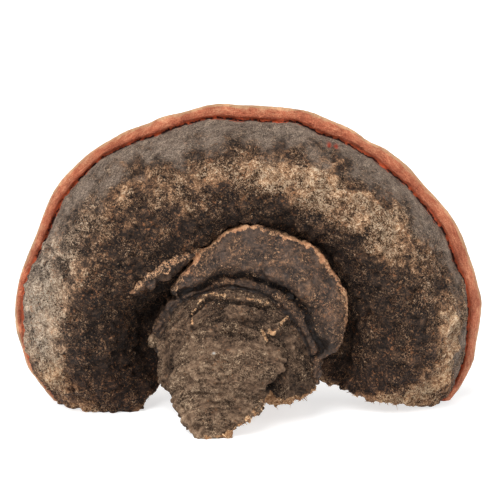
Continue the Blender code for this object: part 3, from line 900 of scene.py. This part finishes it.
def hub():
    piece = joined("hub", [
        loft("dome", DOME_CENTRE, dome_section, DOME_RINGS, HUB_SPOKES, HUB_LUMPS),
        loft("snout", SNOUT_CENTRE, snout_section, SNOUT_RINGS, HUB_SPOKES, HUB_LUMPS),
        knob(),
    ])
    skin = Skin(piece, HUB_GRAIN, HUB_LUMPS)
    points, at = skin.points, hub_places(skin)
    relief = hub_relief(skin, at)
    skin.lift(relief)
    front = smooth(39 - skin.rest[:, 2] + 5 * rough(points, 9, 88, 3), -3, 3) * at.on_snout
    # Painted light and shade: the left side is painted lighter, as lit from the left; the tone
    # follows the relief, darker in the hollows and lighter on the swells; and the seam round the
    # snout, the cavity, the groove round the dome and the line under the dome's arc are painted dark
    # as shade and shadow.
    left, button = smooth(-points[:, 0], 14, 28), spot(points, *BUTTON)
    zone = HUB_TONE + 0.18 * front + 0.08 * rough(points, 8.0, 92, 3) + 0.12 * relief
    zone += 0.08 * left - 0.10 * at.seam - 0.25 * at.cavity - 0.15 * at.groove
    zone += 0.22 * button - 0.12 * at.under
    tan = (0.6 * at.arc + 1.2 * at.patch) * smooth(rough(points, 1.8, 90, 3, 0.6), -0.3, 0.2)
    keep(skin.mesh, zone=zone, tan=tan, torn=at.torn, speck=spot(points, *PALE_SPECK))
    keep(skin.mesh, ringed=at.steps, around=at.turn)
    return thinned(piece)


# ---- the fibres

def torn_places(parents, draw):
    """Places on the broken surfaces of the given pieces, with the surface's normals there."""
    roots, leans = [], []
    for parent, count, depth in parents:
        points, normals = own_points(parent.data), own_normals(parent.data)
        torn = read(parent.data.attributes["torn"].data, "value", 1)[:, 0]
        clear = (points[:, 1] < depth) & (points[:, 2] > 0.6)
        chosen = draw.choice(np.flatnonzero((torn > 0.35) & clear), count)
        roots.append(points[chosen])
        leans.append(normals[chosen])
    return np.concatenate(roots), np.concatenate(leans)


def fibres(parents):
    """Torn ends that stand off the broken surfaces of the given pieces, in one mesh."""
    draw = np.random.default_rng(FIBRE_SEED)
    root, lean = torn_places(parents, draw)
    number, rings, sides = len(root), *FIBRE_MESH
    lean = 0.45 * lean + draw.normal(0, 0.7, (number, 3)) + (0, -0.4, 0)
    lean /= np.linalg.norm(lean, axis=1)[:, None]
    bend = draw.normal(0, 0.6, (number, 3))
    length = FIBRE_LENGTH[0] + FIBRE_LENGTH[1] * draw.random(number) ** 2
    radius = FIBRE_RADIUS[0] + FIBRE_RADIUS[1] * draw.random(number) ** 2
    side = np.cross(lean, draw.normal(0, 1, (number, 3)))
    side /= np.linalg.norm(side, axis=1)[:, None]
    other = np.cross(lean, side)
    points = np.empty((number, rings, sides, 3))
    first, tip = (np.arange(number) * rings * sides)[:, None], (rings - 1) * sides
    faces = [first + (2, 1, 0), first + (tip, tip + 1, tip + 2)]
    for ring in range(rings):
        s = ring / (rings - 1)
        middle = root - 0.3 * lean + length[:, None] * (s * lean + s * s * bend)
        for k in range(sides):
            turn = 2 * np.pi * k / sides
            out = np.cos(turn) * side + np.sin(turn) * other
            points[:, ring, k] = middle + out * (radius * (1 - FIBRE_TAPER * s))[:, None]
            a, b = ring * sides + k, ring * sides + (k + 1) % sides
            if ring:
                faces.append(first + (a - sides, b - sides, b, a))
    points[..., 2] = np.maximum(points[..., 2], 0)
    mesh = bpy.data.meshes.new("fibres")
    flat = ((points.reshape(-1, 3) + AXIS) * MM).tolist()
    mesh.from_pydata(flat, [], [face for group in faces for face in group.tolist()])
    keep(mesh, tint=np.repeat(draw.random(number), rings * sides))
    mesh.shade_smooth()
    return linked("fibres", mesh)


# ---- the materials

def colour(red, green, blue):
    """An sRGB colour of 0 to 255 as the shader's linear one."""
    share = np.array([red, green, blue]) / 255
    linear = np.where(share > 0.04045, ((share + 0.055) / 1.055) ** 2.4, share / 12.92)
    return (*linear, 1.0)


class Paint:
    """A material, with short names for the shader nodes that it uses."""

    def __init__(self, name):
        self.material = bpy.data.materials.new(name)
        self.material.use_nodes = True
        self.tree = self.material.node_tree
        self.surface = self.tree.nodes["Principled BSDF"]
        self.place = self.node("ShaderNodeTexCoord", output="Object")

    def fill(self, node, inputs):
        """Links or sets the node's inputs, given by name or number."""
        for socket, value in inputs.items():
            if isinstance(value, bpy.types.NodeSocket):
                self.tree.links.new(value, node.inputs[socket])
            else:
                node.inputs[socket].default_value = value

    def node(self, kind, inputs=None, output=0, **fields):
        """The output of a new node."""
        made = self.tree.nodes.new(kind)
        for field, value in fields.items():
            setattr(made, field, value)
        self.fill(made, inputs or {})
        return made.outputs[output]

    def __getitem__(self, name):
        """The number that each vertex keeps under the name."""
        return self.node("ShaderNodeAttribute", output="Fac", attribute_name=name)

    def noise(self, wavelength, detail=3.0, rough=0.55, twist=0.0, place=None, apart=0.0):
        """Noise from 0 to 1, with its wavelength in millimetres; apart picks another one."""
        inputs = {"Vector": place or self.place, "W": apart, "Detail": detail, "Distortion": twist}
        inputs |= {"Roughness": rough, "Scale": 1 / (wavelength * (1.0 if place else MM))}
        return self.node("ShaderNodeTexNoise", inputs, noise_dimensions="4D")

    def vector(self, x, y):
        return self.node("ShaderNodeCombineXYZ", {"X": x, "Y": y})

    def math(self, operation, a, b=0.0):
        return self.node("ShaderNodeMath", {0: a, 1: b}, operation=operation)

    def add(self, *values):
        return functools.reduce(functools.partial(self.math, "ADD"), values)

    def times(self, *values):
        return functools.reduce(functools.partial(self.math, "MULTIPLY"), values)

    def away(self, value):
        """What is left of 1."""
        return self.math("SUBTRACT", 1.0, value)

    def sway(self, value, amount):
        """Noise around 0.5 as a shift around zero, times the amount."""
        return self.times(self.math("SUBTRACT", value, 0.5), amount)

    def step(self, value, low, high):
        inputs = {"Value": value, "From Min": low, "From Max": high}
        return self.node("ShaderNodeMapRange", inputs, interpolation_type="SMOOTHSTEP")

    def mix(self, share, a, b):
        """The colour a, and b where the share is 1. Sockets 6, 7 and 2 are the colours'."""
        inputs = {"Factor": share, 6: a, 7: b}
        return self.node("ShaderNodeMix", inputs, output=2, data_type="RGBA")

    def off_middle(self, wavelength, twist, apart):
        """How far a noise is from its middle: zero along wandering lines."""
        wander = self.noise(wavelength, 2, 0.5, twist, apart=apart)
        return self.math("ABSOLUTE", self.math("SUBTRACT", wander, 0.5))

    def billow(self, wavelength, apart):
        """Rounded grains from 0 to 1, with sharp creases between them."""
        return self.math("MINIMUM", self.times(self.off_middle(wavelength, 0.8, apart), 5.0), 1.0)

    def ramp(self, value, stops):
        """A colour for the value, from {value: (red, green, blue)}."""
        tint = self.node("ShaderNodeValToRGB", {"Fac": value})
        elements = tint.node.color_ramp.elements
        while len(elements) < len(stops):
            elements.new(1.0)
        for element, (at, shade) in zip(elements, sorted(stops.items())):
            element.position = at
            element.color = colour(*shade)
        return tint

    def finish(self, tint, height, depth, roughness, specular):
        """The material, with the height as bumps of the given depth in millimetres."""
        bump = self.node("ShaderNodeBump", {"Height": height, "Distance": depth * MM})
        self.fill(self.surface, {"Base Color": tint, "Roughness": roughness, "Normal": bump})
        self.fill(self.surface, {"Specular IOR Level": specular})
        return self.material


CRUST_TONES = {
    0.0: (28, 19, 14), 0.18: (54, 39, 29), 0.36: (92, 67, 49), 0.54: (144, 106, 76),
    0.74: (190, 149, 112), 1.0: (232, 206, 174),
}
WARM_TONES = {
    0.0: (26, 14, 8), 0.18: (56, 36, 24), 0.36: (100, 68, 46), 0.54: (150, 108, 76),
    0.74: (198, 154, 114), 1.0: (234, 206, 170),
}
ASH_TONES = {
    0.0: (40, 33, 29), 0.2: (76, 65, 57), 0.4: (118, 103, 89), 0.6: (158, 139, 120),
    0.8: (194, 174, 152), 1.0: (224, 208, 188),
}
EARTH_TONES = {
    0.0: (32, 24, 18), 0.2: (62, 48, 38), 0.4: (98, 77, 61), 0.6: (130, 106, 85),
    0.8: (164, 138, 112), 1.0: (205, 182, 154),
}
BELT_TONES = {0.0: (50, 42, 37), 0.35: (90, 76, 66), 0.6: (122, 105, 92), 1.0: (182, 161, 140)}
# The margin's tones run from the groove to the rim: partly its own red-brown, partly painted shade
# at the groove and painted light towards the rim.
BEAD_TONES = {
    0.0: (100, 42, 28), 0.25: (160, 78, 53), 0.5: (196, 112, 79), 0.75: (220, 150, 112),
    1.0: (236, 188, 150),
}
TORN_TONES = {0.0: (56, 36, 24), 0.35: (118, 82, 57), 0.6: (186, 142, 103), 1.0: (236, 202, 160)}
PORE_TONES = {0.0: (122, 90, 62), 0.5: (172, 138, 100), 1.0: (208, 178, 140)}
LIP_TONES = {0.0: (88, 54, 36), 0.45: (168, 116, 80), 0.8: (224, 180, 138)}
FIBRE_TONES = {0.0: (108, 76, 54), 0.5: (186, 144, 106), 1.0: (236, 202, 160)}
WHITE = (1, 1, 1, 1)


def grain(p, fine, rounded, ridged):
    """Hills with dark creases, bright ridges, grains and dust: a shift of tone and a height. The
    tone follows the height: the dark creases are painted shade and the bright ridges painted light.
    """
    hills, ridges = p.billow(3.6, 7.0), p.away(p.billow(1.9, 8.0))
    patch = p.add(0.35, p.times(p.step(p.noise(7.0, 3, 0.6, apart=9.0), 0.40, 0.60), 1.1))
    small = p.sway(p.noise(0.8, 3, 0.7, 1.2), fine)
    dust = p.sway(p.noise(0.45, 2, 0.7, apart=3.0), 0.9 * fine)
    grains = p.times(p.add(p.times(p.add(ridges, -0.6), ridged), small, dust), patch)
    shift = p.add(p.times(p.add(hills, -0.4), rounded), grains)
    return shift, p.add(p.times(hills, 0.6), p.times(ridges, 0.3), grains)


def rusted(p, tint, share):
    """The tint with scattered rust-coloured grains."""
    specks = p.add(p.noise(1.1, 3, 0.6, 0.6, apart=5.0), p.sway(p.noise(11.0, 2), 0.35))
    return p.mix(p.times(p.step(specks, 0.60, 0.68), share), tint, colour(176, 118, 78))


def belt_skin(p, shift):
    """The smooth skin of the belt beside the margin, with its wrinkles."""
    oblique = p.add(p["reach"], p.times(p["along"], 0.12))
    place = p.vector(p.times(p["along"], 0.22), oblique)
    wrinkle = p.add(p.sway(p.noise(0.8, 4, 0.75, 0.5, place), 1.4), p.sway(p.noise(0.5, 2), 1.8))
    return p.ramp(p.add(0.64, wrinkle, p.times(shift, 0.3)), BELT_TONES), wrinkle


def bead_colour(p, past):
    """The margin: red-brown at the groove, paler towards its rim, and streaked along. The change
    from groove to rim is partly its own colour, partly painted shade at the groove and painted light
    towards the rim.
    """
    place = p.vector(p.times(p["along"], 0.22), p["reach"])
    streak, patch = p.noise(0.8, 4, 0.65, 0.4, place), p.noise(6.0, 4, 0.6, 0.5)
    share = p["share"]
    mottle = p.sway(streak, 1.0), p.sway(patch, 0.8), p.sway(p.noise(0.5, 2, 0.6), 0.9)
    body = p.ramp(p.add(0.31, p.times(share, 0.36), *mottle), BEAD_TONES)
    rim = p.step(p.add(share, p.sway(streak, 0.4)), 0.80, 0.96)
    body = p.mix(rim, body, colour(218, 170, 128))
    # An orange band on the bead beside the crack: partly the margin's own orange, partly painted
    # highlight, its colour lightened against the shade in the groove.
    beads = p.sway(p.noise(1.6, 2, 0.5, apart=6.0), 2.0)
    orange_and_highlight = p.away(p.step(p.add(past, p.sway(streak, 1.4), beads), 0.3, 1.5))
    body = p.mix(p.times(orange_and_highlight, 0.7), body, colour(224, 98, 56))
    return p.mix(p.step(p.noise(1.5, 2, 0.5), 0.72, 0.76), body, colour(220, 188, 160))


def with_bead(p, crust):
    """The crust and the bead past it, with a red fringe and between them a crack, painted dark as
    shade, with orange in places.
    """
    past = p["past"]
    edge = p.add(past, p.sway(p.noise(1.3, 3), 0.8))
    fringe = p.times(p.step(edge, -0.6, -0.3), p.step(p.noise(2.2, 3, 0.6), 0.50, 0.58))
    crust = p.mix(fringe, crust, colour(186, 84, 50))
    body = p.mix(p.step(past, -0.15, 0.1), crust, bead_colour(p, past))
    # Painted shade: a dark line along the crack, with orange where the noise is high.
    line = p.times(p.step(edge, -0.25, -0.1), p.away(p.step(edge, 0.25, 0.4)))
    crack = p.mix(p.step(p.noise(3.0, 3, 0.6), 0.52, 0.62), colour(48, 20, 14), colour(206, 90, 50))
    return p.mix(line, body, crack)


def fan_material():
    p = Paint("crust")
    belt, flaked, behind = p["belt"], p["flaked"], p["behind"]
    shift, height = grain(p, 2.0, 0.20, 0.32)
    flakes = p.step(p.add(p.noise(1.8, 6, 0.75, 1.8, apart=2.0), p.sway(flaked, 0.10)), 0.50, 0.54)
    shift = p.add(shift, p.sway(p.noise(2.0, 5, 0.65, 2.2), 0.5), p.sway(flakes, 0.20))
    curls = p.away(p.step(p.off_middle(2.6, 1.6, 1.0), 0.0035, 0.035))
    shift = p.add(shift, p.times(curls, p.add(flaked, 0.25), 0.3))
    tone = p.add(p["zone"], shift)
    crust = p.mix(p["grey"], p.ramp(tone, CRUST_TONES), p.ramp(tone, ASH_TONES))
    crust = p.mix(p["warm"], crust, p.ramp(tone, WARM_TONES))
    crust = rusted(p, crust, 0.6)
    skin, wrinkle = belt_skin(p, shift)
    crust = p.mix(p.times(belt, 0.9), crust, skin)
    crust = p.mix(p["red"], crust, colour(180, 66, 42))
    dots = p.sway(p.noise(0.7, 2, 0.5, apart=4.0), 1.4)
    pores = p.ramp(p.add(0.56, p.sway(p.noise(16.0, 5, 0.6), 0.7), dots), PORE_TONES)
    body = p.mix(behind, with_bead(p, crust), pores)
    fresh = p.ramp(p.add(0.42, p.times(shift, 0.9)), TORN_TONES)
    body = p.mix(p["torn"], body, fresh)
    calm = p.add(p.times(behind, 0.8), p.times(belt, 0.5))
    height = p.add(p.times(height, p.away(calm)), p.times(wrinkle, belt, 0.7))
    roughness = p.add(0.66, p.times(flaked, 0.2), p.times(belt, -0.08))
    return p.finish(body, height, depth=1.2, roughness=roughness, specular=0.25)


def ringed_grain(p, around, amount, *grains):
    """Grains with growth rings, as a shift of the tone and a height."""
    place = p.vector(p["ringed"], p.times(p["around"], around))
    shift, height = grain(p, *grains)
    return p.add(shift, p.sway(p.noise(1.2, 5, 0.7, 0.8, place), amount)), height


def shelf_material():
    p = Paint("shelf_crust")
    shift, height = ringed_grain(p, 0.5, 0.7, 1.2, 0.14, 0.18)
    crust = rusted(p, p.ramp(p.add(p["zone"], shift), CRUST_TONES), 0.4)
    worn = p.step(p.add(p["lip"], p.times(shift, 1.5)), 0.4, 0.65)
    crust = p.mix(worn, crust, p.ramp(p.add(0.5, shift), LIP_TONES))
    return p.finish(crust, height, depth=0.6, roughness=0.55, specular=0.4)


def hub_material():
    p = Paint("hub_crust")
    shift, height = ringed_grain(p, 0.3, 0.8, 1.4, 0.20, 0.22)
    crust = rusted(p, p.ramp(p.add(p["zone"], shift), EARTH_TONES), 0.25)
    flakes = p.ramp(p.add(0.58, shift), TORN_TONES)
    crust = p.mix(p.step(p.add(p["tan"], p.times(shift, 0.9)), 0.35, 0.6), crust, flakes)
    crust = p.mix(p["speck"], crust, colour(190, 186, 178))
    fresh = p.ramp(p.add(0.50, p.times(shift, 0.9)), TORN_TONES)
    crust = p.mix(p.step(p.add(p["torn"], shift), 0.35, 0.65), crust, fresh)
    return p.finish(crust, height, depth=0.8, roughness=0.9, specular=0.15)


def fibre_material():
    p = Paint("torn_fibre")
    tint = p.ramp(p["tint"], FIBRE_TONES)
    return p.finish(tint, p.noise(0.5, 2), depth=0.05, roughness=0.8, specular=0.2)


# ---- the stage

def stage():
    bpy.ops.mesh.primitive_plane_add(size=FLOOR_SIZE, location=FLOOR_PLACE)
    floor = bpy.context.object
    floor.name = "floor"
    p = Paint("floor")
    p.fill(p.surface, {
        "Base Color": (FLOOR_SHADE, FLOOR_SHADE, FLOOR_SHADE, 1),
        "Emission Color": WHITE,
        "Emission Strength": FLOOR_GLOW,
        "Roughness": 0.9,
        "Specular IOR Level": 0.0,
    })
    floor.data.materials.append(p.material)


def studio():
    scene = bpy.context.scene
    scene.view_settings.view_transform = "Standard"
    scene.world = bpy.data.worlds.new("studio")
    scene.world.use_nodes = True
    sky = scene.world.node_tree.nodes["Background"].inputs
    sky["Color"].default_value = WHITE
    sky["Strength"].default_value = SKY
    for name, place, angle, strength in SUNS:
        light = bpy.data.lights.new(name, "SUN")
        light.angle = np.radians(angle)
        light.energy = strength
        lamp = linked(name, light)
        lamp.location = place
        lamp.rotation_euler = (-lamp.location).to_track_quat("-Z", "Y").to_euler()


def camera():
    lens = bpy.data.cameras.new("camera")
    lens.lens = CAMERA_LENS
    lens.sensor_width = CAMERA_SENSOR
    lens.clip_start = 0.01
    lens.clip_end = 50
    eye = linked("camera", lens)
    eye.location = Vector((np.array(CAMERA_PLACE) + AXIS) * MM)
    eye.rotation_euler.x = np.radians(90 - CAMERA_TILT)
    bpy.context.scene.camera = eye


def dress(piece, material):
    piece.data.materials.clear()
    piece.data.materials.append(material)
    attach(piece, "root")
    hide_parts("bracket")


camera()
the_fan, the_hub = fan(), hub()
dress(the_fan, fan_material())
dress(shelves(), shelf_material())
dress(the_hub, hub_material())
torn_parents = ((the_fan, *FAN_FIBRES), (the_hub, *HUB_FIBRES))
dress(fibres(torn_parents), fibre_material())
stage()
studio()
